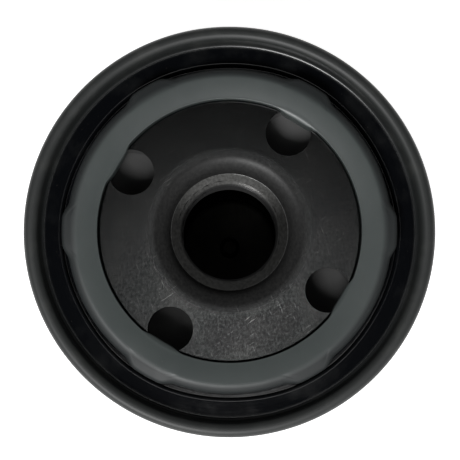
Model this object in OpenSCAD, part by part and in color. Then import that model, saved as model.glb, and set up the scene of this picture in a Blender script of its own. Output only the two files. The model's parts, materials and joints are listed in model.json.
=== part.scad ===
// Spin-on oil filter for a small engine.
// A drawn steel can is closed by a double-seamed lid that carries the sealing
// gasket and the threaded base plate. Inside are an anti-drainback valve, a
// pleated element with a bypass valve in its centre tube, and the spring that
// holds the element up. The thread axis is Z: the closed end rests at z = 0,
// and the gasket's sealing face looks along +Z. Millimetres.

/* [Overall] */
// Height from the closed end to the gasket's sealing face
overall_height = 86; // [75:1:140]
// Diameter over the double seam, the widest part
seam_diameter = 76.2; // [76.2:0.1:78]
// Thickness of the can's and the lid's sheet steel
sheet = 0.45; // [0.4:0.01:0.46]
// Height by which the gasket stands proud of the seam
gasket_proud = 1.4; // [1:0.1:1.8]

/* [Thread and base plate] */
// Minor diameter of the 3/4-16 UNF mounting thread
thread_minor = 17.46; // [17.3:0.01:17.7]
// Major diameter of the mounting thread
thread_major = 19.05; // [19:0.01:19.1]
// Depth of the plate's raised centre below the gasket's face
plateau_drop = 2.8; // [2.5:0.1:3]
// Radius of the plate's raised centre
plateau_r = 24.3; // [24:0.1:24.35]
// Thickness of the base plate
plate_t = 2.8; // [2.6:0.1:2.9]
// Number of oil inlet holes
inlets = 4; // [4:1:6]
// Radius of each inlet hole
inlet_r = 4.2; // [3.8:0.1:4.3]
// Radius of the circle that the inlet holes lie on
inlet_circle_r = 21.2; // [21:0.1:21.4]
// Angle of the first inlet hole
inlet_angle = 59; // [0:1:89]

/* [Gasket] */
// Height of the gasket
gasket_h = 6.1; // [5.9:0.1:6.3]
// Inner radius of the gasket
gasket_in = 24.4; // [24.4:0.05:24.5]
// Outer radius of the gasket between its nibs
gasket_out = 30.2; // [30:0.1:30.4]
// Outer radius over the retaining nibs
nib_out = 31; // [30.8:0.05:31]
// Number of retaining nibs
nibs = 6; // [4:1:8]
// Angle that each nib covers
nib_angle = 15; // [12:1:20]

/* [Can] */
// Number of wrench flutes round the closed end
flutes = 14; // [12:1:16]
// Radius of each flute's hollow
flute_r = 14; // [12:0.5:16]
// Height at which the flutes run out into the wall
flute_top = 17; // [15:0.5:18]
// Depth that a flute would reach at the closed end
flute_depth = 2.2; // [1.8:0.1:2.4]

/* [Element] */
// Number of pleats in the filter paper
pleats = 44; // [36:1:46]
// Thickness of the filter paper
paper = 0.5; // [0.4:0.05:0.55]
// Outer radius of the pleat pack
pack_out = 32.9; // [32:0.1:33]
// Radius of each hole in the centre tube
tube_hole_r = 2; // [1.5:0.1:2.2]
// Rows of holes in the centre tube
tube_rows = 7; // [5:1:8]
// Holes in each row
tube_columns = 8; // [6:1:10]

/* [Springs] */
// Wire diameter of the element's support spring
support_wire = 2.2; // [1.8:0.1:2.4]
// Wire diameter of the bypass valve's spring
bypass_wire = 1.1; // [0.9:0.05:1.2]

/* [Hidden] */

$fn = 96;
bend_steps = 6;
hair = 0.02;
contact = 0.05;

// Double seam: five layers of sheet between its inner and outer radius
layer = sheet + 0.05;
seam_r = seam_diameter / 2 - sheet / 2;
hook_r = seam_r - layer;
lid_hook_r = seam_r - 2 * layer;
wall_r = seam_r - 3 * layer;
chuck_r = seam_r - 4 * layer;
can_out = wall_r + sheet / 2;
seam_top = overall_height - gasket_proud;
seam_centre_z = seam_top - sheet / 2 - (seam_r - chuck_r) / 2;
seam_bottom = seam_top - 4.7;
tight = 0.495;

// Levels below the gasket's face
groove_floor = overall_height - gasket_h;
land_top = overall_height - 4.5;
plateau_top = overall_height - plateau_drop;
plateau_under = plateau_top - plate_t;
rim_top = groove_floor - sheet - hair;
rim_under = rim_top - 2.5;
groove_wall_r = 31.3;
lid_inner_r = 24.6;

// Threaded neck of the base plate
mouth_r = 14.4;
mouth_round = 3.6;
mouth_turn = 75;
lead_r = mouth_r - mouth_round * sin(mouth_turn);
lead_z = plateau_top - mouth_round * (1 - cos(mouth_turn));
thread_top = lead_z - (lead_r - thread_minor / 2);
neck_out = 12.6;
neck_end = overall_height - 17;
neck_chamfer = 0.6;
thread_depth = (thread_major - thread_minor) / 2;
plate_out = 32.4;

// Anti-drainback valve, against the underside of the plate's rim
seal_z = rim_under - contact;
flap_root_r = 15.5;
flap_root_z = seal_z - 1.9;
flap_bend_r = 26;
seal_bead_in = 27.2;
seal_bead_out = 28.6;

// Element: its caps, measured from each end of the filter
cap_t = 0.4;
cap_out = 33.7;
top_cap_z = overall_height - 14 - cap_t / 2;
bottom_cap_z = 15.2;
cap_rim = 3.2;
cap_mouth_r = 13.5;
cap_mouth_depth = 1.9;
tube_in = 13.85;
tube_out = 14.25;
potting_t = 1.55;
pack_in = 14.6;
pack_bottom = bottom_cap_z + cap_t / 2 + potting_t + contact;
pack_top = top_cap_z - cap_t / 2 - potting_t - contact;

// Bypass valve, on the bottom cap's upturned seat
seat_r = 6.6;
seat_top = bottom_cap_z + 1.4;
seal_t = 1.3;
disc_t = 0.8;
disc_z = seat_top + seal_t + 2 * hair;
cage_r = 9.9;
cage_t = 0.5;
cage_top = disc_z + 15;
cage_window = 8;
stem_r = 1.5;
stem_head_r = 3.2;
disc_r = 8.9;
seal_r = 8.4;

// Closed end of the can
panel_z = 1.9;
cup_top = flute_top + 3;
support_spring_r = 22;
bypass_spring_r = 5.4;

function unit(v) = v / norm(v);
function left(v) = [-v[1], v[0]];
function flip(list) = [for (i = [len(list) - 1:-1:0]) list[i]];
function polar(r, a) = [r * cos(a), r * sin(a)];
function wrapped(a) = (a + 540) % 360 - 180;

// Rounds the corners of a path given as [x, y, corner radius] points
function bent(way) = [
  for (i = [0:len(way) - 1])
    let (p = [way[i][0], way[i][1]], r = way[i][2])
    if (r == 0 || i == 0 || i == len(way) - 1) p
    else
      let (
        to_last = unit([way[i - 1][0], way[i - 1][1]] - p),
        to_next = unit([way[i + 1][0], way[i + 1][1]] - p),
        half = acos(to_last * to_next) / 2,
        centre = p + unit(to_last + to_next) * r / sin(half),
        start = p + to_last * r / tan(half) - centre,
        end = p + to_next * r / tan(half) - centre,
        from = atan2(start[1], start[0]),
        turn = wrapped(atan2(end[1], end[0]) - from)
      )
      for (k = [0:bend_steps]) centre + polar(r, from + turn * k / bend_steps)
];

// The path moved sideways by d, to its left
function beside(path, d) = [
  for (i = [0:len(path) - 1])
    let (
      into = unit(path[max(i, 1)] - path[max(i, 1) - 1]),
      out = unit(path[min(i, len(path) - 2) + 1] - path[min(i, len(path) - 2)]),
      side = unit(left(into) + left(out))
    )
    path[i] + side * d / (side * left(into))
];

// The closed outline of sheet metal t thick that follows a path
function strip(path, t) = concat(beside(path, t / 2), flip(beside(path, -t / 2)));

module turned(outline) {
  rotate_extrude() polygon(outline);
}

module ring(r_in, r_out, low, high) {
  translate([0, 0, low]) difference() {
    cylinder(r = r_out, h = high - low);
    translate([0, 0, -1]) cylinder(r = r_in, h = high - low + 2);
  }
}

// A closed coil spring of round wire, with a flat turn at each end
module coil(mean_r, wire, height, turns, per_turn, sides) {
  rise = height - wire;
  closed = 1.08 * wire;
  climb = [
    [0, 0], [0.6, 0], [1.1, closed],
    [turns - 1.1, rise - closed], [turns - 0.6, rise], [turns, rise]
  ];
  last = turns * per_turn;
  points = [
    for (i = [0:last]) for (j = [0:sides - 1])
      let (
        a = 360 * i / per_turn,
        b = 360 * j / sides,
        r = mean_r + wire / 2 * cos(b),
        z = wire / 2 * (1 + sin(b)) + lookup(i / per_turn, climb)
      )
      [r * cos(a), r * sin(a), z]
  ];
  skin = [
    for (i = [0:last - 1]) for (j = [0:sides - 1])
      let (k = (j + 1) % sides)
      [i * sides + j, i * sides + k, (i + 1) * sides + k, (i + 1) * sides + j]
  ];
  first_end = [for (j = [sides - 1:-1:0]) j];
  last_end = [for (j = [0:sides - 1]) last * sides + j];
  polyhedron(points = points, faces = concat(skin, [first_end, last_end]));
}

// Hollows of the wrench flutes; grow makes them deeper by the sheet's thickness
module flute_hollows(grow) {
  for (k = [0:flutes - 1])
    rotate(k * 360 / flutes)
      translate([can_out + flute_r, 0, flute_top])
        rotate([0, atan(flute_depth / flute_top), 0])
          cylinder(r = flute_r + grow, h = 4 * flute_top, center = true);
}

function cup_path(top) = bent([
  [0, panel_z, 0], [15.5, panel_z, 2.2], [18.6, sheet / 2, 2.2],
  [28.5, sheet / 2, 10], [wall_r, 8.5, 8], [wall_r, top, 0]
]);

module cup_solid(top, side, grow) {
  difference() {
    turned(concat([[0, top]], beside(cup_path(top), side * sheet / 2)));
    flute_hollows(grow);
  }
}

module can() {
  color([0.09, 0.09, 0.1]) union() {
    difference() {
      cup_solid(cup_top, -1, 0);
      cup_solid(cup_top + 1, 1, sheet);
    }
    turned(strip(bent([
      [wall_r, cup_top, 0], [wall_r, seam_top - 1, tight],
      [hook_r, seam_top - 1, tight], [hook_r, seam_bottom + 1.2, 0]
    ]), sheet));
  }
}

module seaming_lid() {
  reach = (seam_r - chuck_r) / 2 - 0.01;
  color([0.07, 0.07, 0.08]) turned(strip(bent([
    [lid_inner_r, groove_floor - sheet / 2, 0],
    [groove_wall_r, groove_floor - sheet / 2, 0.45],
    [groove_wall_r, land_top - sheet / 2, 0.45],
    [35.35, land_top - sheet / 2, 0.9],
    [chuck_r, seam_top - sheet / 2, reach],
    [seam_r, seam_top - sheet / 2, reach],
    [seam_r, seam_bottom + sheet / 2, tight],
    [lid_hook_r, seam_bottom + sheet / 2, tight],
    [lid_hook_r, seam_top - 1.85, 0]
  ]), sheet));
}

// Sealing compound in the crescent between the lid's curl and the can's hook
module seam_compound() {
  inner_r = (seam_r - chuck_r) / 2 - sheet / 2 - hair;
  hook_round_z = seam_top - 1 - tight;
  color([0.35, 0.33, 0.3]) rotate_extrude() intersection() {
    difference() {
      translate([lid_hook_r, seam_centre_z]) circle(r = inner_r);
      translate([lid_hook_r, hook_round_z]) circle(r = tight + sheet / 2 + hair);
    }
    translate([lid_hook_r - 0.6, hook_round_z + 0.45]) square([1.2, 1.2]);
  }
}

module base_plate() {
  color([0.3, 0.3, 0.29]) difference() {
    turned(concat(
      [
        [plateau_r, plateau_top], [plateau_r, rim_top],
        [plate_out, rim_top], [plate_out, rim_under],
        [22.4, rim_under], [21.6, plateau_under], [neck_out + 1.4, plateau_under]
      ],
      [for (a = [90:15:180]) [neck_out + 1.4, plateau_under - 1.4] + polar(1.4, a)],
      [
        [neck_out, neck_end + neck_chamfer], [neck_out - neck_chamfer, neck_end],
        [thread_major / 2, neck_end], [thread_minor / 2, neck_end + thread_depth],
        [thread_minor / 2, thread_top], [lead_r, lead_z]
      ],
      [for (k = [bend_steps:-1:0])
        [mouth_r, plateau_top - mouth_round] + polar(mouth_round, 90 + mouth_turn * k / bend_steps)]
    ));
    for (k = [0:inlets - 1])
      rotate(inlet_angle + k * 360 / inlets)
        translate([inlet_circle_r, 0, rim_under - 1])
          cylinder(r = inlet_r, h = plateau_top - rim_under + 2);
  }
}

module sealing_gasket() {
  face = overall_height;
  color([0.33, 0.35, 0.34]) union() {
    turned(bent([
      [gasket_in, groove_floor, 0], [gasket_out, groove_floor, 0],
      [gasket_out, face, 1.1], [gasket_in, face, 0.25], [gasket_in, groove_floor, 0]
    ]));
    for (k = [0:nibs - 1])
      rotate(k * 360 / nibs - nib_angle / 2)
        rotate_extrude(angle = nib_angle)
          polygon(bent([
            [gasket_out - 1.2, groove_floor, 0], [nib_out, groove_floor + 0.5, 0],
            [nib_out, face - 0.5, 0.5], [gasket_out - 1.2, face - 0.5, 0]
          ]));
  }
}

// The valve is one rubber moulding: this is the sleeve that grips the neck
module drainback_collar() {
  color([0.1, 0.1, 0.1])
    ring(neck_out + contact, flap_root_r - 0.3, top_cap_z + cap_t / 2 + contact, flap_root_z);
}

// The rest of the moulding: the flap that closes against the plate's underside
module drainback_lip() {
  color([0.12, 0.12, 0.12]) turned([
    [flap_root_r, flap_root_z - 1.2], [flap_bend_r, seal_z - 1.3],
    [seal_bead_out, seal_z - 0.7], [seal_bead_out, seal_z], [seal_bead_in, seal_z],
    [flap_bend_r - 0.4, seal_z - 0.5], [flap_root_r, flap_root_z]
  ]);
}

module element_top_cap() {
  color([0.62, 0.62, 0.6]) turned(strip(bent([
    [cap_mouth_r, top_cap_z - cap_mouth_depth, 0], [cap_mouth_r, top_cap_z, 0.4],
    [cap_out, top_cap_z, 0.6], [cap_out, top_cap_z - cap_rim, 0]
  ]), cap_t));
}

module element_bottom_cap() {
  color([0.62, 0.62, 0.6]) turned(strip(bent([
    [seat_r, seat_top, 0], [seat_r, bottom_cap_z, 0.4],
    [cap_out, bottom_cap_z, 0.6], [cap_out, bottom_cap_z + cap_rim, 0]
  ]), cap_t));
}

// One face of the folded paper: its tips at tip_r, its valleys at valley_r
function fold_line(tip_r, tip_half, valley_r, valley_half) = [
  for (k = [0:pleats - 1])
    let (a = k * 360 / pleats, b = a + 180 / pleats)
    for (p = [
      [tip_r, a - asin(tip_half / tip_r)], [tip_r, a + asin(tip_half / tip_r)],
      [valley_r, b - asin(valley_half / valley_r)],
      [valley_r, b + asin(valley_half / valley_r)]
    ]) polar(p[0], p[1])
];

module pleated_media() {
  tip = 0.75;
  valley = 0.45;
  color([0.78, 0.7, 0.5]) translate([0, 0, pack_bottom])
    linear_extrude(pack_top - pack_bottom) difference() {
      polygon(fold_line(pack_out, tip + paper / 2, pack_in + paper, valley - paper / 2));
      polygon(fold_line(pack_out - paper, tip - paper / 2, pack_in, valley + paper / 2));
    }
}

module center_tube() {
  low = bottom_cap_z + cap_t / 2 + contact;
  high = top_cap_z - cap_t / 2 - contact;
  pitch = (pack_top - pack_bottom) / (tube_rows + 1);
  color([0.5, 0.5, 0.5]) difference() {
    ring(tube_in, tube_out, low, high);
    for (row = [1:tube_rows]) for (k = [0:tube_columns - 1])
      rotate(360 * (k + 0.25 + row / 2) / tube_columns)
        translate([tube_in - 1, 0, pack_bottom + pitch * row])
          rotate([0, 90, 0]) cylinder(r = tube_hole_r, h = tube_out - tube_in + 2);
  }
}

// Cured compound that seals the paper to a cap, rounded to fit the cap's bend
module potting(low, high) {
  in = tube_out + contact;
  out = cap_out - cap_t / 2 - contact;
  color([0.75, 0.35, 0.2]) turned(bent([
    [in, low, 0], [out, low, 0.5], [out, high, 0.5], [in, high, 0], [in, low, 0]
  ]));
}

module top_potting() {
  potting(pack_top + contact / 2, top_cap_z - cap_t / 2 - contact / 2);
}

module bottom_potting() {
  potting(bottom_cap_z + cap_t / 2 + contact / 2, pack_bottom - contact / 2);
}

// Steel channel that joins the paper's two ends, over one pleat
module pleat_clip() {
  inside = 1.08;
  t = 0.25;
  back = pack_out + contact;
  color([0.6, 0.6, 0.6]) translate([0, 0, pack_bottom + contact])
    linear_extrude(pack_top - pack_bottom - 2 * contact) difference() {
      translate([27, -inside - t]) square([back + t - 27, 2 * (inside + t)]);
      translate([26, -inside]) square([back - 26, 2 * inside]);
    }
}

// Perforated hat that guides the valve's stem and takes the spring's push
module bypass_cage() {
  base = bottom_cap_z + cap_t / 2 + contact;
  color([0.55, 0.55, 0.52]) difference() {
    turned(strip(bent([
      [13.4, base + cage_t / 2, 0], [cage_r, base + cage_t / 2, 0.5],
      [cage_r, cage_top + cage_t / 2, 1.2], [stem_r + 0.6, cage_top + cage_t / 2, 0]
    ]), cage_t));
    for (a = [0, 90])
      rotate(a) translate([0, 0, (base + cage_top) / 2])
        cube([cage_window, 4 * cage_r, cage_top - base - 5], center = true);
  }
}

module bypass_disc() {
  color([0.66, 0.66, 0.64]) ring(stem_r + hair, disc_r, disc_z, disc_z + disc_t);
}

module bypass_seal() {
  color([0.13, 0.13, 0.13]) ring(stem_r + hair, seal_r, seat_top + hair, seat_top + hair + seal_t);
}

// Rivet-headed pin that holds the seal to the disc and slides in the cage
module bypass_stem() {
  color([0.6, 0.6, 0.58]) union() {
    translate([0, 0, seat_top - 0.7]) cylinder(r = stem_head_r, h = 0.7);
    translate([0, 0, seat_top - 0.3]) cylinder(r = stem_r, h = cage_top - seat_top + 2.3);
  }
}

module bypass_spring() {
  low = disc_z + disc_t + contact;
  color([0.55, 0.55, 0.55]) translate([0, 0, low])
    coil(bypass_spring_r, bypass_wire, cage_top - contact - low, 7, 20, 8);
}

module support_spring() {
  low = sheet + contact;
  color([0.5, 0.5, 0.5]) translate([0, 0, low])
    coil(support_spring_r, support_wire, bottom_cap_z - cap_t / 2 - contact - low, 4, 30, 10);
}

can();
seaming_lid();
seam_compound();
base_plate();
sealing_gasket();
drainback_collar();
drainback_lip();
element_top_cap();
element_bottom_cap();
pleated_media();
center_tube();
top_potting();
bottom_potting();
pleat_clip();
bypass_cage();
bypass_disc();
bypass_seal();
bypass_stem();
bypass_spring();
support_spring();
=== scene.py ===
import json
import math

import bmesh
import bpy
from mathutils import Matrix, Vector

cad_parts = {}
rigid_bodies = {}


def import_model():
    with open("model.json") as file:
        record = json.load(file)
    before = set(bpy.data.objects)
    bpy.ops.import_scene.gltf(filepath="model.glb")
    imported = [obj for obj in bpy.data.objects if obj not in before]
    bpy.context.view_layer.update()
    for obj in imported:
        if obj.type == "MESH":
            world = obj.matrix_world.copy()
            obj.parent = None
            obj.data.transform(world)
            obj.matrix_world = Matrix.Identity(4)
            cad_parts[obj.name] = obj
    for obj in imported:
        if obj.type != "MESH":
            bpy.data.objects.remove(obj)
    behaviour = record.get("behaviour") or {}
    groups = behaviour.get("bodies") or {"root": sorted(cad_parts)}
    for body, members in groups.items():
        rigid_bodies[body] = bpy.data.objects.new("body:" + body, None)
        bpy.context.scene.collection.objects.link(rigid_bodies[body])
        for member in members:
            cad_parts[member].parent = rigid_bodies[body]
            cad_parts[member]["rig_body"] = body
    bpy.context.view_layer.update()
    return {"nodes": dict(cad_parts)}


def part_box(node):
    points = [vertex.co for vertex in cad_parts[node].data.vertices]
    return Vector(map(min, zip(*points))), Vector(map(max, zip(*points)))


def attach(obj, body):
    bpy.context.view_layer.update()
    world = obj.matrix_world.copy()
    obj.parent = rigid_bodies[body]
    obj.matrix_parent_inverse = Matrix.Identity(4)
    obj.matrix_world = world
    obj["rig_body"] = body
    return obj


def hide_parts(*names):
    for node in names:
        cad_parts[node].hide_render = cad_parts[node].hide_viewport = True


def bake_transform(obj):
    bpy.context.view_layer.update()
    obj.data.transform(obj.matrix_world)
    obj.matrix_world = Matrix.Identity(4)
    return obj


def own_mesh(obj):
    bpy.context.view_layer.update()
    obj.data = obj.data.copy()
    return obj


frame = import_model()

# Spin-on oil filter. Lengths are in millimetres until a mesh is made, and z = 0 is the closed end.
MM = 0.001
nodes = frame["nodes"]
scene = bpy.context.scene


def top_of(node):
    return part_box(node)[1].z / MM


def foot_of(node):
    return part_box(node)[0].z / MM


def radius_of(node):
    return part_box(node)[1].x / MM


# ---------------------------------------------------------------- sizes

SHEET = 0.45
HAIR = 0.02

FACE_Z = top_of("sealing_gasket")
GROOVE_Z = foot_of("sealing_gasket")
SEAM_TOP = top_of("seaming_lid")
SEAM_FOOT = foot_of("seaming_lid")
SEAM_OUT = radius_of("seaming_lid")
PLATEAU_Z = top_of("base_plate")
NECK_END = foot_of("base_plate")
PLATE_OUT = radius_of("base_plate")

LAYER = SHEET + 0.05
SEAM_R = SEAM_OUT - SHEET / 2
HOOK_R = SEAM_R - LAYER
LID_HOOK_R = SEAM_R - 2 * LAYER
WALL_R = SEAM_R - 3 * LAYER
CHUCK_R = SEAM_R - 4 * LAYER
TIGHT = 0.48

PLATEAU_R = 24.3
PLATE_T = 2.8
RIM_TOP = GROOVE_Z - SHEET - HAIR
RIM_UNDER = RIM_TOP - 2.5
LAND_TOP = FACE_Z - 4.5
GROOVE_WALL_R = 31.3

THREAD_MINOR = 8.73
THREAD_MAJOR = 9.525
PITCH = 25.4 / 16
NECK_OUT = 12.6
MOUTH_R = 14.4
MOUTH_ROUND = 3.6
MOUTH_TURN = 75
LEAD_SLOPE = 1.35
LEAD_R = MOUTH_R - MOUTH_ROUND * math.sin(math.radians(MOUTH_TURN))
INLETS = 4
INLET_R = 4.2
INLET_CIRCLE = 21.2
INLET_ANGLE = 59

NIBS = 6
NIB_HALF = 7.5
FLUTES = 14
FLUTE_R = 14
FLUTE_TOP = 17
FLUTE_DEPTH = 2.2
CAN_OUT = WALL_R + SHEET / 2

THREAD_START = 250
DRILL_SIDES = 96
LID_IN = 24.6
FACE_OUT = 28.3
CAP_T = 0.4
PLEATS = 44
POTTING_IN = 14.3
SHARP = 32


# ---------------------------------------------------------------- outlines

def polar(r, a):
    return Vector((r * math.cos(math.radians(a)), r * math.sin(math.radians(a))))


def arc(centre, r, start, end, steps):
    return [Vector(centre) + polar(r, start + (end - start) * k / steps) for k in range(steps + 1)]


def bent(way, steps=8):
    """Rounds the corners of a path of (radius, z, corner radius) points."""
    path = []
    for i, (x, y, r) in enumerate(way):
        p = Vector((x, y))
        if r == 0 or i in (0, len(way) - 1):
            path.append(p)
            continue
        back = (Vector(way[i - 1][:2]) - p).normalized()
        ahead = (Vector(way[i + 1][:2]) - p).normalized()
        half = math.acos(back.dot(ahead)) / 2
        centre = p + (back + ahead).normalized() * r / math.sin(half)
        start = p + back * r / math.tan(half) - centre
        end = p + ahead * r / math.tan(half) - centre
        first = math.degrees(math.atan2(start.y, start.x))
        last = math.degrees(math.atan2(end.y, end.x))
        path += arc(centre, r, first, first + (last - first + 540) % 360 - 180, steps)
    return path


def beside(path, d):
    """The path moved sideways by d, to its left."""
    out = []
    for i, p in enumerate(path):
        a = (path[max(i, 1)] - path[max(i, 1) - 1]).normalized()
        k = min(i, len(path) - 2)
        b = (path[k + 1] - path[k]).normalized()
        left = Vector((-a.y, a.x))
        side = (left + Vector((-b.y, b.x))).normalized()
        out.append(p + side * d / side.dot(left))
    return out


def strip(path, t):
    """The closed outline of sheet metal t thick that follows a path."""
    return beside(path, t / 2) + beside(path, -t / 2)[::-1]


def smooth(x):
    x = max(0.0, min(1.0, x))
    return x * x * (3 - 2 * x)


def away(a, b):
    """How many degrees lie between two directions."""
    return abs((a - b + 180) % 360 - 180)


# ---------------------------------------------------------------- meshes

def meshed(name, mesh):
    """The mesh data that a bmesh makes."""
    data = bpy.data.meshes.new(name)
    mesh.to_mesh(data)
    mesh.free()
    return data


def placed(name, data):
    """An object of this data, linked into the scene."""
    made = bpy.data.objects.new(name, data)
    scene.collection.objects.link(made)
    return made


def shaded(data, sharp):
    """Smooth shading but for the edges sharper than so many degrees."""
    data.shade_smooth()
    data.set_sharp_from_angle(angle=math.radians(sharp))


def finished(mesh, name, body, material, replaced, sharp=SHARP):
    """The piece that a bmesh makes: smooth but for its sharp edges, on its body, with its look."""
    bmesh.ops.remove_doubles(mesh, verts=mesh.verts, dist=2e-7)
    bmesh.ops.delete(mesh, geom=[e for e in mesh.edges if not e.link_faces], context="EDGES")
    bmesh.ops.recalc_face_normals(mesh, faces=mesh.faces)
    data = meshed(name, mesh)
    shaded(data, sharp)
    piece = placed(name, data)
    data.materials.append(material)
    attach(piece, body)
    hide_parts(*replaced)
    return piece


def held(outline, flats, gap=0.1):
    """The outline with a point just inside each end of its flats, so that they shade flat."""
    out = []
    for i, p in enumerate(outline):
        out.append(p)
        if i in flats:
            way = Vector(outline[(i + 1) % len(outline)]) - Vector(p)
            step = way * min(gap / max(way.length, gap), 1 / 3)
            out += [Vector(p) + step, Vector(p) + way - step]
    return out


def lofted(section, steps, closed=True):
    """A bmesh of the ring whose (radius, z) outline at each angle in degrees is section(angle)."""
    mesh = bmesh.new()
    rings = []
    first = [Vector(p) for p in section(0)]
    ends = zip(first, first[1:] + first[:1] if closed else first[1:])
    flats = {i for i, (p, q) in enumerate(ends) if (q - p).length > 0.5}
    for i in range(steps):
        a = 360 * i / steps
        ring = []
        for r, z in held(section(a), flats):
            x, y = polar(r, a)
            ring.append(mesh.verts.new((x * MM, y * MM, z * MM)))
        rings.append(ring)
    count = len(rings[0])
    for i in range(steps):
        a, b = rings[i], rings[(i + 1) % steps]
        for j in range(count if closed else count - 1):
            k = (j + 1) % count
            mesh.faces.new((a[j], b[j], b[k], a[k]))
    return mesh


def turned(outline, steps=240, closed=True):
    return lofted(lambda a: outline, steps, closed)


def coil(mean_r, wire, low, height, turns):
    """A closed coil spring of round wire with a flat turn at each end."""
    per_turn, sides = 64, 16
    rise = height - wire
    shut = 1.08 * wire
    knots = [
        (0, 0), (0.45, 0), (0.93, shut),
        (turns - 0.93, rise - shut), (turns - 0.45, rise), (turns, rise)]

    def climb(t):
        for (t0, z0), (t1, z1) in zip(knots, knots[1:]):
            if t <= t1:
                return z0 + (z1 - z0) * (t - t0) / (t1 - t0)
        return rise

    def level(t):
        return sum(climb(t + 0.02 * k) for k in range(-3, 4)) / 7 if 0.1 < t < turns - 0.1 else climb(t)

    mesh = bmesh.new()
    rings = []
    for i in range(turns * per_turn + 1):
        t = i / per_turn
        z = low + wire / 2 + level(t)
        ring = []
        for j in range(sides):
            across, up = polar(wire / 2, 360 * j / sides)
            x, y = polar(mean_r + across, 360 * t)
            ring.append(mesh.verts.new((x * MM, y * MM, (z + up) * MM)))
        rings.append(ring)
    for a, b in zip(rings, rings[1:]):
        for j in range(sides):
            k = (j + 1) % sides
            mesh.faces.new((a[j], a[k], b[k], b[j]))
    mesh.faces.new(rings[0][::-1])
    mesh.faces.new(rings[-1])
    return mesh


def cut(piece, cutters):
    """Takes the cutters away from the piece, and deletes them."""
    for cutter in cutters:
        hole = piece.modifiers.new("hole", "BOOLEAN")
        hole.operation = "DIFFERENCE"
        hole.solver = "EXACT"
        hole.object = cutter
    bpy.context.view_layer.update()
    shape = bpy.data.meshes.new_from_object(piece.evaluated_get(bpy.context.evaluated_depsgraph_get()))
    piece.modifiers.clear()
    piece.data = shape
    for cutter in cutters:
        bpy.data.objects.remove(cutter)


# ---------------------------------------------------------------- materials

class Look:
    """A material being put together, with short calls for the nodes that it needs."""

    def __init__(self, name, **sockets):
        self.material = bpy.data.materials.new(name)
        self.material.use_nodes = True
        self.tree = self.material.node_tree
        self.shader = self.tree.nodes["Principled BSDF"]
        for key, value in sockets.items():
            self.shader.inputs[key.replace("_", " ")].default_value = value
        self.place = self.tree.nodes.new("ShaderNodeTexCoord").outputs["Object"]

    def node(self, kind, **settings):
        made = self.tree.nodes.new(kind)
        for key, value in settings.items():
            setattr(made, key, value)
        return made

    def link(self, source, target):
        self.tree.links.new(source, target)

    def stretched(self, scale):
        """Object coordinates, scaled by three factors."""
        mapping = self.node("ShaderNodeMapping")
        mapping.inputs["Scale"].default_value = scale
        self.link(self.place, mapping.inputs["Vector"])
        return mapping.outputs["Vector"]

    def along(self, turn, length):
        """Object coordinates drawn out along a direction turned by so many degrees about the axis."""
        mapping = self.node("ShaderNodeMapping", vector_type="TEXTURE")
        mapping.inputs["Rotation"].default_value = (0, 0, math.radians(turn))
        mapping.inputs["Scale"].default_value = (length, 1, 1)
        self.link(self.place, mapping.inputs["Vector"])
        return mapping.outputs["Vector"]

    def scratches(self, turn):
        """1 on fine straight scratches about 3 mm long, in patches, and 0 elsewhere."""
        line = self.remap(self.noise(0.14, 1, 0.5, self.along(turn, 22)), 0.7, 0.76)
        patch = self.remap(self.noise(7, 2, 0.5, self.along(turn, 1.5)), 0.45, 0.6)
        return self.maths("MULTIPLY", line, patch)

    def noise(self, size, detail, rough=0.55, where=None):
        """Noise whose lumps are about size millimetres across."""
        made = self.node("ShaderNodeTexNoise")
        made.inputs["Scale"].default_value = 1 / (size * MM)
        made.inputs["Detail"].default_value = detail
        made.inputs["Roughness"].default_value = rough
        self.link(where or self.place, made.inputs["Vector"])
        return made.outputs["Fac"]

    def radius(self):
        """Distance from the axis, in metres."""
        length = self.node("ShaderNodeVectorMath", operation="LENGTH")
        self.link(self.stretched((1.0, 1.0, 0.0)), length.inputs[0])
        return length.outputs["Value"]

    def rings(self, size, detail):
        """Noise that changes with the distance from the axis only."""
        made = self.node("ShaderNodeTexNoise", noise_dimensions="1D")
        made.inputs["Scale"].default_value = 1 / (size * MM)
        made.inputs["Detail"].default_value = detail
        self.link(self.radius(), made.inputs["W"])
        return made.outputs["Fac"]

    def zone(self, near, far, at_near=0.0, at_far=1.0):
        """A value that changes between two radii in millimetres."""
        return self.remap(self.radius(), near * MM, far * MM, at_near, at_far)

    def above(self, low, high):
        """0 below the first of two heights in millimetres, 1 above the second."""
        split = self.node("ShaderNodeSeparateXYZ")
        self.link(self.place, split.inputs[0])
        return self.remap(split.outputs["Z"], low * MM, high * MM)

    def remap(self, source, low, high, to_low=0.0, to_high=1.0):
        made = self.node("ShaderNodeMapRange")
        for key, value in zip(("From Min", "From Max", "To Min", "To Max"), (low, high, to_low, to_high)):
            made.inputs[key].default_value = value
        self.link(source, made.inputs["Value"])
        return made.outputs["Result"]

    def maths(self, operation, a, b):
        made = self.node("ShaderNodeMath", operation=operation)
        for socket, value in zip(made.inputs, (a, b)):
            if isinstance(value, (int, float)):
                socket.default_value = value
            else:
                self.link(value, socket)
        return made.outputs[0]

    def blend(self, factor, a, b):
        """Colour a where factor is 0, b where it is 1."""
        made = self.node("ShaderNodeMix", data_type="RGBA")
        self.link(factor, made.inputs[0])
        for socket, value in zip((made.inputs[6], made.inputs[7]), (a, b)):
            if isinstance(value, tuple):
                socket.default_value = (*value, 1)
            else:
                self.link(value, socket)
        return made.outputs[2]

    def colour(self, source):
        self.link(source, self.shader.inputs["Base Color"])

    def rough(self, source):
        self.link(source, self.shader.inputs["Roughness"])

    def bump(self, height, depth):
        """Raises the surface by height times depth millimetres."""
        made = self.node("ShaderNodeBump")
        made.inputs["Strength"].default_value = 1
        made.inputs["Distance"].default_value = depth * MM
        self.link(height, made.inputs["Height"])
        self.link(made.outputs["Normal"], self.shader.inputs["Normal"])


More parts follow.
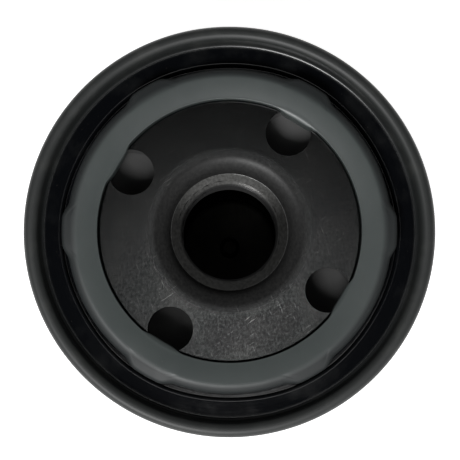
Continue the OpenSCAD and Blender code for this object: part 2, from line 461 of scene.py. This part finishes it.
def black_paint():
    """Black coating: glossy inside, scuffed over the seam, with orange peel, draw marks and dust."""
    look = Look("black_paint", IOR=1.5)
    peel = look.noise(1.3, 2)
    rubbed = look.remap(look.noise(7, 5, 0.65), 0.5, 0.75)
    dust = look.remap(look.noise(0.35, 1), 0.74, 0.8)
    marks = look.rings(0.5, 3)
    scuffed = look.maths("MULTIPLY", look.zone(CHUCK_R - 1.8, CHUCK_R - 0.4),
                         look.above(SEAM_FOOT - 0.5, SEAM_FOOT + 0.5))
    worn = look.blend(rubbed, (0.0030, 0.0034, 0.0043), (0.0095, 0.0100, 0.0105))
    bare = look.blend(rubbed, (0.020, 0.022, 0.0215), (0.036, 0.038, 0.0355))
    look.colour(look.blend(dust, look.blend(scuffed, worn, bare), (0.03, 0.028, 0.024)))
    gloss = look.maths("ADD", look.remap(marks, 0.3, 0.7, 0.07, 0.1), look.remap(rubbed, 0, 1, 0, 0.07))
    look.rough(look.maths("ADD", gloss, look.maths("MULTIPLY", scuffed, 0.4)))
    look.bump(look.maths("ADD", peel, look.remap(marks, 0, 1, 0, 0.4)), 0.004)
    return look.material


def plate_steel():
    """Dark phosphated steel: grained and scratched on the flat, with painted shade as a dark matte band in
    the mouth, and tooled in the bore, where the thread crests are painted near black as the bore's shade.
    """
    look = Look("plate_steel", Specular_IOR_Level=0.25)
    grain = look.noise(0.45, 4, 0.7, look.stretched((1.0, 0.7, 1.0)))
    fine = look.noise(0.16, 2, 0.6)
    cloud = look.noise(8, 4)
    coated = look.blend(look.remap(grain, 0.32, 0.7), (0.045, 0.046, 0.0465), (0.110, 0.113, 0.112))
    worn = look.blend(look.remap(cloud, 0.45, 0.75, 0, 0.5), coated, (0.121, 0.122, 0.118))
    formed = look.zone(LEAD_R - 0.15, LEAD_R + 0.05)
    # painted shade: the thread crests and the inner part of the flanks inside the bore are painted near
    # black (0.03) as the bore's shade; the roots and the lead-in show the tooled steel
    out_of_bore_shade = look.zone(THREAD_MINOR + 0.25, THREAD_MINOR + 0.5)
    tooled = look.blend(look.remap(grain, 0.35, 0.65), (0.06, 0.06, 0.058), (0.12, 0.12, 0.116))
    tooled_under_bore_shade = look.blend(out_of_bore_shade, (0.03, 0.03, 0.03), tooled)
    # painted shade: the drawn mouth gets a dark, matte, non-metallic colour so that it looks shaded like the
    # recess it leads into
    mouth_shade_mask = look.maths("MULTIPLY", formed, look.zone(MOUTH_R - 0.7, MOUTH_R + 1.3, 1, 0))
    mouth_shade_tone = look.blend(look.remap(grain, 0.35, 0.65), (0.008, 0.008, 0.0082), (0.021, 0.021, 0.0205))
    drawn = look.zone(MOUTH_R - 2, MOUTH_R + 0.8, 0.35, 0)
    scored = look.maths("MAXIMUM", look.scratches(35), look.scratches(112))
    scraped = look.blend(scored, worn, (0.3, 0.3, 0.295))
    look.colour(look.blend(formed, tooled_under_bore_shade, look.blend(mouth_shade_mask, scraped, mouth_shade_tone)))
    look.link(look.maths("SUBTRACT", 1, mouth_shade_mask), look.shader.inputs["Metallic"])
    flat = look.maths("ADD", look.remap(grain, 0.3, 0.7, 0.2, 0.14),
                      look.remap(cloud, 0.3, 0.7, 0.015, -0.01))
    look.rough(look.maths("ADD", flat, look.maths("MULTIPLY", drawn, formed)))
    look.bump(look.maths("ADD", grain, look.remap(fine, 0, 1, 0, 0.6)), 0.009)
    return look.material


def gasket_rubber():
    """Grey nitrile rubber: a smooth pale face with smears and specks; outside the face the rubber is much
    darker, partly a darker moulding skin and partly painted shade on the shoulder and in the gap beside the
    groove wall.
    """
    look = Look("gasket_rubber", Roughness=0.45, IOR=1.6)
    blotch = look.noise(11, 4, 0.6)
    smear = look.noise(3.5, 4, 0.6, look.stretched((1.0, 0.25, 1.0)))
    speck = look.remap(look.noise(0.3, 1), 0.75, 0.82)
    skin = look.noise(0.25, 3, 0.6)
    plain = look.blend(look.remap(blotch, 0.3, 0.7), (0.042, 0.051, 0.050), (0.053, 0.063, 0.061))
    wiped = look.blend(look.remap(smear, 0.55, 0.85, 0, 0.35), plain, (0.036, 0.041, 0.040))
    face = look.blend(speck, wiped, (0.1, 0.1, 0.095))
    # partly painted shade: beyond the face the gasket gets a near-black colour, which stands both for a
    # darker moulding skin and for the shade on the shoulder and in the narrow gap by the lid's groove wall
    outside = look.zone(FACE_OUT - 0.1, FACE_OUT + 0.9)
    look.colour(look.blend(outside, face, (0.007, 0.010, 0.0105)))
    look.rough(look.maths("ADD", look.remap(smear, 0.3, 0.8, 0.38, 0.46),
                          look.maths("MULTIPLY", outside, 0.22)))
    look.bump(skin, 0.008)
    return look.material


def valve_rubber():
    """Soft black rubber with a fine bloom on its skin."""
    look = Look("valve_rubber", Roughness=0.5, IOR=1.5)
    bloom = look.noise(4, 4)
    look.colour(look.blend(look.remap(bloom, 0.3, 0.75), (0.024, 0.024, 0.024), (0.038, 0.038, 0.037)))
    look.rough(look.remap(bloom, 0.3, 0.7, 0.42, 0.6))
    look.bump(look.noise(0.3, 2), 0.01)
    return look.material


def sheet_metal(name, dark, light, rough, grain_size, grain_depth):
    """Bare or plated sheet steel with rolling marks and duller clouds."""
    look = Look(name, Metallic=1.0)
    rolled = look.noise(grain_size, 3, 0.6, look.stretched((1.0, 0.12, 0.3)))
    cloud = look.noise(6, 4)
    look.colour(look.blend(look.remap(cloud, 0.3, 0.7), dark, light))
    look.rough(look.remap(rolled, 0.3, 0.7, rough, rough + 0.16))
    look.bump(rolled, grain_depth)
    return look.material


def filter_paper():
    """Resin-treated paper: crossing fibres, warm blotches and the darker tone of cured resin."""
    look = Look("filter_paper", Roughness=0.85)
    look.shader.inputs["Subsurface Weight"].default_value = 0.08
    look.shader.inputs["Subsurface Radius"].default_value = (0.0008, 0.0005, 0.0003)
    fibre = look.noise(0.35, 4, 0.7, look.stretched((1.0, 1.0, 0.35)))
    tone = look.noise(8, 4)
    base = look.blend(look.remap(tone, 0.3, 0.7), (0.56, 0.40, 0.19), (0.66, 0.50, 0.27))
    look.colour(look.blend(look.remap(fibre, 0.45, 0.75, 0, 0.6), base, (0.74, 0.6, 0.38)))
    look.rough(look.remap(fibre, 0.3, 0.7, 0.78, 0.92))
    look.bump(fibre, 0.05)
    return look.material


def plain_filler(name, dark, light, rough, lump):
    """Cured compound: uneven in tone, with small lumps and pin holes."""
    look = Look(name, Roughness=rough)
    tone = look.noise(lump * 4, 3)
    pits = look.remap(look.noise(lump * 0.5, 2), 0.62, 0.75)
    look.colour(look.blend(look.remap(tone, 0.3, 0.7), dark, light))
    look.rough(look.remap(pits, 0, 1, rough, rough + 0.25))
    look.bump(look.maths("SUBTRACT", look.noise(lump, 3), pits), 0.05)
    return look.material


PAINT = black_paint()
PLATE = plate_steel()
GASKET = gasket_rubber()
RUBBER = valve_rubber()
TINNED = sheet_metal("tinned_steel", (0.5, 0.5, 0.48), (0.62, 0.61, 0.58), 0.26, 0.5, 0.01)
TUBE = sheet_metal("tube_steel", (0.20, 0.20, 0.19), (0.28, 0.275, 0.26), 0.34, 0.5, 0.015)
PHOSPHATED = sheet_metal("phosphated_steel", (0.016, 0.016, 0.015), (0.03, 0.029, 0.027), 0.5, 0.6, 0.01)
WIRE = sheet_metal("spring_wire", (0.16, 0.155, 0.15), (0.25, 0.24, 0.225), 0.3, 0.4, 0.012)
PAPER = filter_paper()
PLASTISOL = plain_filler("plastisol", (0.42, 0.1, 0.035), (0.5, 0.14, 0.05), 0.5, 1.2)
COMPOUND = plain_filler("seam_filler", (0.16, 0.15, 0.13), (0.22, 0.2, 0.17), 0.7, 0.4)


# ---------------------------------------------------------------- can and lid

def flute_limit(angle, z, grow):
    """How far out the can's wall may reach at an angle and height, for the hollow of the nearest flute."""
    pitch = 360 / FLUTES
    off = math.radians(away(angle, round(angle / pitch) * pitch))
    centre = CAN_OUT + FLUTE_R - (FLUTE_TOP - z) * FLUTE_DEPTH / FLUTE_TOP
    reach = (FLUTE_R + grow) ** 2 - (centre * math.sin(off)) ** 2
    return centre * math.cos(off) - math.sqrt(reach) if reach > 0 else 1e3


def pressed(r, limit, soft=0.35):
    """The smaller of two radii, with the corner between them rounded."""
    if limit > r + soft:
        return r
    h = max(0.0, min(1.0, 0.5 + 0.5 * (limit - r) / soft))
    return limit * (1 - h) + r * h - soft * h * (1 - h) * 0.5


def can():
    cup = bent([
        (0, 1.9, 0), (15.5, 1.9, 2.2), (18.6, SHEET / 2, 2.2), (28.5, SHEET / 2, 10),
        (WALL_R, 8.5, 8), (WALL_R, FLUTE_TOP - 3.5, 0)], 14)
    wall = [Vector((WALL_R, FLUTE_TOP - 3.5 + 0.5 * k)) for k in range(1, 12)]
    hooks = bent([
        (WALL_R, FLUTE_TOP + 3, 0), (WALL_R, SEAM_TOP - 1, TIGHT),
        (HOOK_R, SEAM_TOP - 1, TIGHT), (HOOK_R, SEAM_FOOT + 1.2, 0)])
    path = cup + wall + hooks
    inside, outside = beside(path, SHEET / 2), beside(path, -SHEET / 2)

    def section(a):
        def press(points, grow):
            return [(pressed(r, flute_limit(a, z, grow)), z) if 2 < z < FLUTE_TOP + 2 else (r, z)
                    for r, z in points]
        return press(inside, SHEET) + press(outside, 0)[::-1]

    return finished(lofted(section, FLUTES * 20), "can_shell", "housing", PAINT, ["can"])


def seaming_lid():
    reach = (SEAM_R - CHUCK_R) / 2 - 0.01
    land = LAND_TOP - SHEET / 2

    def section(a):
        # the nibs press the groove's wall out a little, and the seam is never perfectly even
        wall = (GROOVE_WALL_R + 0.13 * math.cos(math.radians(NIBS * a))
                + 0.03 * math.sin(math.radians(5 * a + 40)))
        uneven = 0.025 * math.sin(math.radians(3 * a + 20)) + 0.012 * math.sin(math.radians(11 * a))
        crest = SEAM_TOP - SHEET / 2 - 0.04 + uneven
        return strip(bent([
            (LID_IN, GROOVE_Z - SHEET / 2, 0), (wall, GROOVE_Z - SHEET / 2, 0.45), (wall, land + 0.05, 0.3),
            (35.2, land, 1.0), (CHUCK_R, crest, reach), (SEAM_R, crest, reach),
            (SEAM_R, SEAM_FOOT + SHEET / 2, TIGHT), (LID_HOOK_R, SEAM_FOOT + SHEET / 2, TIGHT),
            (LID_HOOK_R, SEAM_TOP - 1.85, 0)], 10), SHEET)

    return finished(lofted(section, 360), "seamed_lid", "housing", PAINT, ["seaming_lid"])


# ---------------------------------------------------------------- base plate

def thread_radius(turns, root):
    """Radius of the thread's surface at a place counted in pitches: crest, flank, root, flank."""
    crest, flank = 0.25, (THREAD_MAJOR - THREAD_MINOR) * math.tan(math.radians(30)) / PITCH
    t = turns % 1
    if t < crest:
        return THREAD_MINOR
    if t < crest + flank:
        return THREAD_MINOR + (root - THREAD_MINOR) * (t - crest) / flank
    if t < 1 - flank:
        return root
    return root - (root - THREAD_MINOR) * (t - 1 + flank) / flank


def base_plate():
    steps = 288
    per_pitch = 24
    lead = Vector((MOUTH_R, PLATEAU_Z - MOUTH_ROUND)) + polar(MOUTH_ROUND, 90 + MOUTH_TURN)
    low, low_r = NECK_END, THREAD_MAJOR + 0.05
    under = PLATEAU_Z - PLATE_T
    deeper = 0.15
    outline = (
        arc((MOUTH_R, PLATEAU_Z - MOUTH_ROUND), MOUTH_ROUND, 90 + MOUTH_TURN, 90, 14)
        + bent([
            (MOUTH_R + 0.5, PLATEAU_Z, 0), (PLATEAU_R, PLATEAU_Z, 0.3), (PLATEAU_R, RIM_TOP, 0.2),
            (PLATE_OUT, RIM_TOP, 0.3), (PLATE_OUT, RIM_UNDER, 0.5), (22.4, RIM_UNDER, 0.8),
            (21.6, under, 0.8), (NECK_OUT, under, 1.4), (NECK_OUT, low, 0.6), (low_r, low, 0)], 6))
    mesh = turned(outline, steps, closed=False)

    # the threaded wall: rows follow the helix, its ends run out on the lead-in cones, and its last
    # groove is cut a little deeper
    rows = int((lead.y - low) / PITCH + 4) * per_pitch
    grid = []
    for i in range(steps):
        a = 360 * i / steps
        column = []
        for m in range(rows + 1):
            z = low + PITCH * ((a + THREAD_START) / 360 - 2 + m / per_pitch)
            root = THREAD_MAJOR + deeper * smooth(z - lead.y + 2.6)
            cone = lead.x - 0.05 - (lead.y - z) * LEAD_SLOPE
            r = max(thread_radius(m / per_pitch, root), cone, low_r - (z - low))
            if z >= lead.y:
                r, z = lead
            elif z <= low:
                r, z = low_r, low
            x, y = polar(r, a)
            column.append(mesh.verts.new((x * MM, y * MM, z * MM)))
        grid.append(column)
    for i in range(steps):
        shift = per_pitch if i == steps - 1 else 0
        a, b = grid[i], grid[(i + 1) % steps]
        for m in range(rows - shift):
            mesh.faces.new((a[m], a[m + 1], b[m + 1 + shift], b[m + shift]))
    bmesh.ops.remove_doubles(mesh, verts=mesh.verts, dist=2e-7)
    bmesh.ops.dissolve_degenerate(mesh, edges=mesh.edges, dist=1e-7)
    plate = finished(mesh, "threaded_base_plate", "housing", PLATE, ["base_plate"])

    drills = []
    for k in range(INLETS):
        x, y = polar(INLET_CIRCLE, INLET_ANGLE + 360 * k / INLETS)
        drill = bmesh.new()
        ring = [Vector((x, y)) + polar(INLET_R, 360 * j / DRILL_SIDES) for j in range(DRILL_SIDES)]
        levels = [[drill.verts.new((p.x * MM, p.y * MM, z * MM)) for p in ring]
                  for z in (RIM_UNDER - 1, PLATEAU_Z + 1)]
        for j in range(DRILL_SIDES):
            n = (j + 1) % DRILL_SIDES
            drill.faces.new((levels[0][j], levels[0][n], levels[1][n], levels[1][j]))
        drill.faces.new(levels[0][::-1])
        drill.faces.new(levels[1])
        drills.append(placed("drill", meshed("drill", drill)))
    cut(plate, drills)
    shaded(plate.data, SHARP)
    return plate


# ---------------------------------------------------------------- gasket

def sealing_gasket():
    inner, outer, nib_out = 24.42, 30.1, radius_of("sealing_gasket")

    def section(a):
        nib = smooth((NIB_HALF + 3 - away(a, round(a * NIBS / 360) * 360 / NIBS)) / 6)
        hole = min(away(a, INLET_ANGLE + 360 * k / INLETS) for k in range(INLETS))
        loose = smooth(1 - (hole / 10.5) ** 2)
        inside = inner - 0.62 * loose
        drop = 0.16 * nib
        wall = outer + (nib_out - outer) * nib
        shoulder = 1.75 - 0.7 * nib
        edge = 0.12 + 1.0 * loose
        start = inside + edge

        def face(r):
            return FACE_Z - 0.014 * (FACE_OUT - r) ** 2 - 0.045 * (FACE_OUT - r)

        lip = [Vector((start - edge * math.cos(math.radians(t)),
                       face(start) - 0.55 * edge * (1 - math.sin(math.radians(t)))))
               for t in range(0, 90, 10)]
        top = [Vector((r, face(r))) for r in (start + (FACE_OUT - start) * k / 8 for k in range(9))]
        return (
            [Vector((inside + 0.1, GROOVE_Z + 0.02)), Vector((inside, GROOVE_Z + 0.15))] + lip + top
            + [Vector((FACE_OUT + 0.03 + 0.4 * nib, FACE_Z - 0.25 * drop)),
               Vector((FACE_OUT + 0.06 + 1.0 * nib, FACE_Z - drop - 0.005))]
            + arc((wall - shoulder, FACE_Z - drop - shoulder - 0.3 * nib), shoulder, 88 - 10 * nib, 0, 12)
            + [Vector((wall, GROOVE_Z + 0.7)), Vector((wall - 0.5 * nib - 0.1, GROOVE_Z + 0.02))])

    return finished(lofted(section, 720), "nibbed_gasket", "housing", GASKET,
                    ["sealing_gasket"], 38)


# ---------------------------------------------------------------- drain-back valve

def drainback_valve():
    seal = top_of("drainback_lip")
    low = foot_of("drainback_collar")
    grip = NECK_OUT + 0.05
    root = seal - 1.9
    outline = bent([
        (grip, low, 0), (15.2, low, 0.4), (15.2, root - 1.25, 0.8), (26, seal - 1.35, 3),
        (28.55, seal - 0.75, 0.3), (28.55, seal, 0.25), (27.3, seal, 0.25), (25.6, seal - 0.55, 1.5),
        (15.5, root - 0.05, 1.2), (14.4, root - 0.25, 0.3), (14.0, root, 0.3), (grip, root, 0.25),
        (grip, low, 0)], 6)[:-1]
    valve = finished(turned(outline), "drainback_valve", "housing", RUBBER,
                     ["drainback_collar", "drainback_lip"])
    valve.parent = None
    del valve["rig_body"]
    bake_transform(valve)
    return valve


# ---------------------------------------------------------------- element

def element():
    top = top_of("element_top_cap") - CAP_T / 2
    low = foot_of("element_bottom_cap") + CAP_T / 2
    out = radius_of("element_top_cap") - CAP_T / 2

    def bead(r, z, h):
        return [(r - 1.3, z, 0.8), (r - 0.5, z + h, 0.5), (r + 0.5, z + h, 0.5), (r + 1.3, z, 0.8)]

    seat_top = foot_of("bypass_seal") - HAIR
    upper = [(13.5, top - 1.9, 0), (13.5, top, 0.4)] + bead(20, top, -0.35) + bead(28, top, -0.35)
    lower = [(6.6, seat_top, 0), (6.6, low, 0.4)] + bead(29, low, 0.35)
    finished(turned(strip(bent(upper + [(out, top, 0.6), (out, top - 3.2, 0)], 6), CAP_T)),
             "element_cap_upper", "element", TINNED, ["element_top_cap"])
    finished(turned(strip(bent(lower + [(out, low, 0.6), (out, low + 3.2, 0)], 6), CAP_T)),
             "element_cap_lower", "element", TINNED, ["element_bottom_cap"])


def pleats():
    paper = 0.5
    out, inn = radius_of("pleated_media"), 14.6
    low, high = foot_of("pleated_media"), top_of("pleated_media")

    def fold(r_tip, half_tip, r_valley, half_valley, a, b):
        """One pleat of one face: a round tip at angle a, then a round valley at angle b."""
        points = []
        for t in range(-90, 91, 30):
            across, along = half_tip * math.sin(math.radians(t)), half_tip * (math.cos(math.radians(t)) - 1)
            points.append(polar(1, a) * (r_tip + along) + polar(1, a + 90) * across)
        for t in range(-90, 91, 30):
            across = half_valley * math.sin(math.radians(t))
            along = half_valley * (1 - math.cos(math.radians(t)))
            points.append(polar(1, b) * (r_valley + along) + polar(1, b + 90) * across)
        return points

    outer, inner = [], []
    for k in range(PLEATS):
        a = 360 * k / PLEATS
        b = a + 180 / PLEATS
        outer += fold(out, 0.75 + paper / 2, inn + paper, 0.45 - paper / 2, a, b)
        inner += fold(out - paper, 0.75 - paper / 2, inn, 0.45 + paper / 2, a, b)
    mesh = bmesh.new()
    levels = 14
    rows = []
    for i in range(levels + 1):
        z = low + (high - low) * i / levels
        row = []
        for side in (outer, inner):
            ring = []
            for p in side:
                angle = math.atan2(p.y, p.x)
                sway = 0.05 * math.sin(9 * angle + 0.25 * z) * math.sin(math.pi * i / levels)
                q = p + Vector((-p.y, p.x)).normalized() * sway
                ring.append(mesh.verts.new((q.x * MM, q.y * MM, z * MM)))
            row.append(ring)
        rows.append(row)
    around = len(outer)
    for a, b in zip(rows, rows[1:]):
        for j in range(around):
            k = (j + 1) % around
            mesh.faces.new((a[0][j], a[0][k], b[0][k], b[0][j]))
            mesh.faces.new((a[1][k], a[1][j], b[1][j], b[1][k]))
    for row, flip in ((rows[0], True), (rows[-1], False)):
        for j in range(around):
            k = (j + 1) % around
            face = (row[0][j], row[0][k], row[1][k], row[1][j])
            mesh.faces.new(face[::-1] if flip else face)
    return finished(mesh, "pleat_pack", "element", PAPER, ["pleated_media"])


def potting():
    for name, node in (("potting_upper", "top_potting"), ("potting_lower", "bottom_potting")):
        low, high, out = foot_of(node), top_of(node), radius_of(node)
        outline = bent([
            (POTTING_IN, low, 0), (out, low, 0.25), (out, high, 0.25), (POTTING_IN, high, 0.25),
            (POTTING_IN, low, 0)], 5)[:-1]
        finished(turned(outline), name, "element", PLASTISOL, [node])


def bypass_valve():
    seal_low, seal_high = foot_of("bypass_seal"), top_of("bypass_seal")
    disc_low, disc_high = foot_of("bypass_disc"), top_of("bypass_disc")
    stem_low, stem_high = foot_of("bypass_stem"), top_of("bypass_stem")
    bore = 1.52
    finished(turned(bent([
        (bore, seal_low, 0), (8.4, seal_low, 0.3), (8.4, seal_high, 0.3), (bore, seal_high, 0),
        (bore, seal_low, 0)], 5)[:-1]),
        "valve_seal_washer", "bypass_valve", RUBBER, ["bypass_seal"])
    finished(turned(bent([
        (bore, disc_low, 0), (8.9, disc_low, 0.2), (8.9, disc_high, 0.35), (bore, disc_high, 0.15),
        (bore, disc_low, 0)], 5)[:-1]),
        "valve_disc", "bypass_valve", PHOSPHATED, ["bypass_disc"])
    finished(turned(bent([
        (0, stem_low, 0), (3.2, stem_low, 0.45), (3.2, stem_low + 0.65, 0.15), (1.5, stem_low + 0.65, 0),
        (1.5, stem_high, 0.5), (0, stem_high, 0)], 5), 96, closed=False),
        "valve_stem", "bypass_valve", PHOSPHATED, ["bypass_stem"])


def springs():
    low, high = foot_of("support_spring"), top_of("support_spring")
    support = finished(coil(22, 2.2, low, high - low, 4), "element_spring", "housing", WIRE,
                       ["support_spring"], 60)
    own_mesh(support)
    low, high = foot_of("bypass_spring"), top_of("bypass_spring")
    valve = finished(coil(5.4, 1.1, low, high - low, 7), "valve_spring", "element", WIRE,
                     ["bypass_spring"], 60)
    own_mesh(valve)


def kept_nodes():
    """CAD nodes whose shape is right as it is get their real surface."""
    for node, material in (("center_tube", TUBE), ("bypass_cage", PHOSPHATED), ("pleat_clip", TINNED),
                           ("seam_compound", COMPOUND)):
        data = nodes[node].data
        data.materials.clear()
        data.materials.append(material)


can()
seaming_lid()
base_plate()
sealing_gasket()
drainback_valve()
element()
pleats()
potting()
bypass_valve()
springs()
kept_nodes()


# ---------------------------------------------------------------- studio

def floor():
    mesh = bmesh.new()
    bmesh.ops.create_grid(mesh, x_segments=1, y_segments=1, size=3)
    data = meshed("floor", mesh)
    piece = placed("floor", data)
    piece.location.z = -HAIR * MM
    look = Look("floor", Roughness=0.9)
    look.shader.inputs["Base Color"].default_value = (0.8, 0.8, 0.8, 1)
    look.shader.inputs["Emission Color"].default_value = (1, 1, 1, 1)
    look.shader.inputs["Emission Strength"].default_value = 0.9
    data.materials.append(look.material)


def panel(name, place, aim, size, power):
    """An oval area light at a place, turned towards its aim."""
    light = bpy.data.lights.new(name, "AREA")
    light.shape = "ELLIPSE"
    light.size, light.size_y = size
    light.energy = power
    lamp = placed(name, light)
    lamp.location = place
    lamp.rotation_mode = "QUATERNION"
    lamp.rotation_quaternion = (Vector(aim) - Vector(place)).to_track_quat("-Z", "Y")
    return lamp


def surroundings():
    """White surroundings with a dark patch of ceiling overhead, which leans towards +y."""
    world = bpy.data.worlds.new("studio")
    scene.world = world
    world.use_nodes = True
    tree = world.node_tree
    tree.nodes.clear()
    place = tree.nodes.new("ShaderNodeTexCoord")
    dot = tree.nodes.new("ShaderNodeVectorMath")
    dot.operation = "DOT_PRODUCT"
    lean = math.radians(17)
    dot.inputs[1].default_value = (0.05, math.sin(lean), math.cos(lean))
    tree.links.new(place.outputs["Generated"], dot.inputs[0])
    ramp = tree.nodes.new("ShaderNodeValToRGB")
    steps = [(math.cos(math.radians(a)), level) for a, level in (
        (89, 0.5), (60, 0.6), (45, 0.7), (35, 0.5), (27, 0.16), (21, 0.04), (15, 0.015), (0, 0.01))]
    marks = ramp.color_ramp.elements
    while len(marks) < len(steps):
        marks.new(0.5)
    for mark, (at, level) in zip(marks, steps):
        mark.position = at
        mark.color = (level, level, level, 1)
    tree.links.new(dot.outputs["Value"], ramp.inputs[0])
    split = tree.nodes.new("ShaderNodeSeparateXYZ")
    tree.links.new(place.outputs["Generated"], split.inputs[0])
    side = tree.nodes.new("ShaderNodeMapRange")
    side.interpolation_type = "SMOOTHSTEP"
    side.inputs["From Min"].default_value = -0.95
    side.inputs["From Max"].default_value = -0.15
    side.inputs["To Min"].default_value = 1.9
    side.inputs["To Max"].default_value = 0.3
    tree.links.new(split.outputs["Y"], side.inputs["Value"])
    light = tree.nodes.new("ShaderNodeBackground")
    tree.links.new(ramp.outputs[0], light.inputs["Color"])
    tree.links.new(side.outputs["Result"], light.inputs["Strength"])
    out = tree.nodes.new("ShaderNodeOutputWorld")
    tree.links.new(light.outputs[0], out.inputs[0])


def camera():
    """Looks almost straight down from half a metre, leaning a few degrees towards -y."""
    distance = 0.5
    covered = 0.0849
    sensor = 36
    lean = math.radians(4)
    target = Vector((0.0001, 0.0001, SEAM_TOP * MM))
    back = Vector((0, -math.sin(lean), math.cos(lean)))
    right = Vector((1, 0, 0))
    data = bpy.data.cameras.new("camera")
    data.sensor_width = sensor
    data.lens = sensor * distance / covered
    data.clip_start, data.clip_end = 0.01, 20
    view = placed("camera", data)
    turn = Matrix((right, back.cross(right), back)).transposed().to_4x4()
    view.matrix_world = Matrix.Translation(target + back * distance) @ turn
    scene.camera = view


floor()
surroundings()
panel("overhead_light", (0.0022, 0.008, SEAM_TOP * MM + 0.6), (0, 0, 0), (0.07, 0.07), 0.026)
panel("front_light", (-0.25, -0.55, 1.0), (0, 0, 0.08), (0.4, 0.35), 9)
camera()
scene.view_settings.view_transform = "Standard"
scene.view_settings.look = "None"
